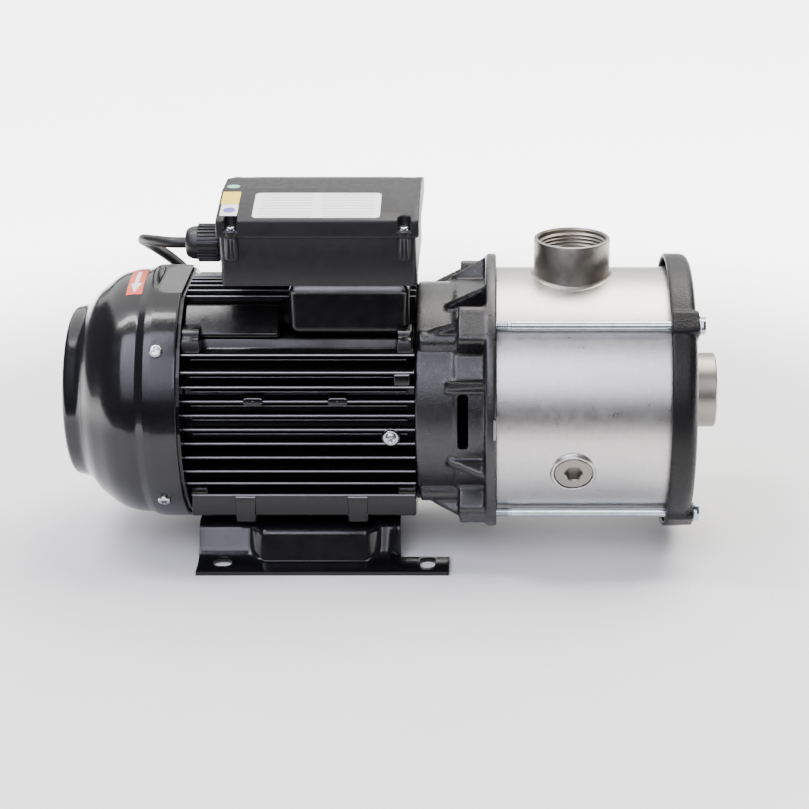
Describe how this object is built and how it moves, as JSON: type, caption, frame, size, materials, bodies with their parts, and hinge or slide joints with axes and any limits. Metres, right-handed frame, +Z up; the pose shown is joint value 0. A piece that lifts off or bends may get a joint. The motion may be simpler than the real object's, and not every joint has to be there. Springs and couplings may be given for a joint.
{
  "type": "horizontal multistage centrifugal pump",
  "caption": "Electric water pump: a finned black motor on a pressed foot drives stages in a stainless barrel, with a threaded outlet on top and a threaded inlet at the end.",
  "frame": {"origin": "on the floor under the middle of the pump's length, below the shaft", "axes": "+X along the shaft from the fan cowl to the inlet, +Y to the rear, +Z up"},
  "size_m": [0.4114, 0.2865, 0.235],
  "materials": {
    "cowl_black": "deep black gloss paint on pressed sheet",
    "frame_black": "black satin paint on die-cast aluminium",
    "foot_black": "black gloss paint on pressed steel",
    "cover_black": "textured black powder coat",
    "box_plastic": "matte charcoal moulding",
    "stainless": "satin stainless sheet",
    "zinc": "bright bluish zinc plate",
    "steel": "ground steel",
    "laminated_iron": "stacked sheet, bare",
    "copper_wire": "varnished winding",
    "black_rubber": "matte rubber",
    "brass_pins": "bright",
    "pale_ceramic": "fired ceramic",
    "carbon": "dull carbon",
    "pale_plastic": "pale moulding"
  },
  "bodies": {
    "pump_body": {"fan_cowl": "cowl_black", "motor_frame": "frame_black", "rear_end_shield": "frame_black", "pump_bracket": "frame_black", "foot_plate": "foot_black", "end_cover": "cover_black", "terminal_box_base": "box_plastic", "terminal_box_lid": "box_plastic", "gland_body": "box_plastic", "gland_nut": "box_plastic", "barrel": "stainless", "outlet_port": "stainless", "inlet_plate": "stainless", "seal_plate": "stainless", "diffuser_1": "stainless", "diffuser_2": "stainless", "diffuser_3": "stainless", "cowl_screw_1": "zinc", "cowl_screw_2": "zinc", "cowl_screw_3": "zinc", "cowl_screw_4": "zinc", "foot_bolt_1": "zinc", "foot_bolt_2": "zinc", "foot_bolt_3": "zinc", "foot_bolt_4": "zinc", "lid_screw_1": "zinc", "lid_screw_2": "zinc", "lid_screw_3": "zinc", "lid_screw_4": "zinc", "tie_bolt_1": "zinc", "tie_bolt_2": "zinc", "tie_bolt_3": "zinc", "tie_bolt_4": "zinc", "ground_screw": "zinc", "rear_bearing_outer": "steel", "front_bearing_outer": "steel", "stator_core": "laminated_iron", "stator_winding": "copper_wire", "power_cord": "black_rubber", "cord_coil": "black_rubber", "cord_tie": "black_rubber", "power_plug": "black_rubber", "plug_pin_1": "brass_pins", "plug_pin_2": "brass_pins", "seal_seat": "pale_ceramic", "run_capacitor": "pale_plastic"},
    "rotor": {"shaft": "steel", "rotor_core": "laminated_iron", "cooling_fan": "box_plastic", "rear_bearing_inner": "steel", "front_bearing_inner": "steel", "seal_head": "carbon", "impeller_1": "stainless", "impeller_2": "stainless", "impeller_3": "stainless", "shaft_nut": "steel"},
    "rear_cage": {"rear_ball_cage": "steel"},
    "front_cage": {"front_ball_cage": "steel"},
    "drain_washer": {"drain_washer": "black_rubber"},
    "drain_plug": {"drain_plug": "stainless"}
  },
  "joints": [
    {"name": "rotor_spin", "type": "hinge", "parent": "pump_body", "child": "rotor", "pos_m": [0, 0, 0.098], "axis": [1, 0, 0], "continuous": true},
    {"name": "rear_cage_spin", "type": "hinge", "parent": "pump_body", "child": "rear_cage", "pos_m": [0, 0, 0.098], "axis": [1, 0, 0], "continuous": true},
    {"name": "front_cage_spin", "type": "hinge", "parent": "pump_body", "child": "front_cage", "pos_m": [0, 0, 0.098], "axis": [1, 0, 0], "continuous": true},
    {"name": "drain_plug_travel", "type": "slide", "parent": "pump_body", "child": "drain_washer", "axis": [0, -0.9397, -0.342], "range_m": [0, 0.0085]},
    {"name": "drain_plug_turn", "type": "hinge", "parent": "drain_washer", "child": "drain_plug", "pos_m": [0.1127, -0.07809, 0.06958], "axis": [0, -0.9397, -0.342], "range_deg": [0, 2268]}
  ],
  "couplings": [
    {"joint": "rear_cage_spin", "follows": "rotor_spin", "ratio": 0.428},
    {"joint": "front_cage_spin", "follows": "rotor_spin", "ratio": 0.41667},
    {"joint": "drain_plug_travel", "follows": "drain_plug_turn", "m_per_rad": 0.00021279}
  ]
}
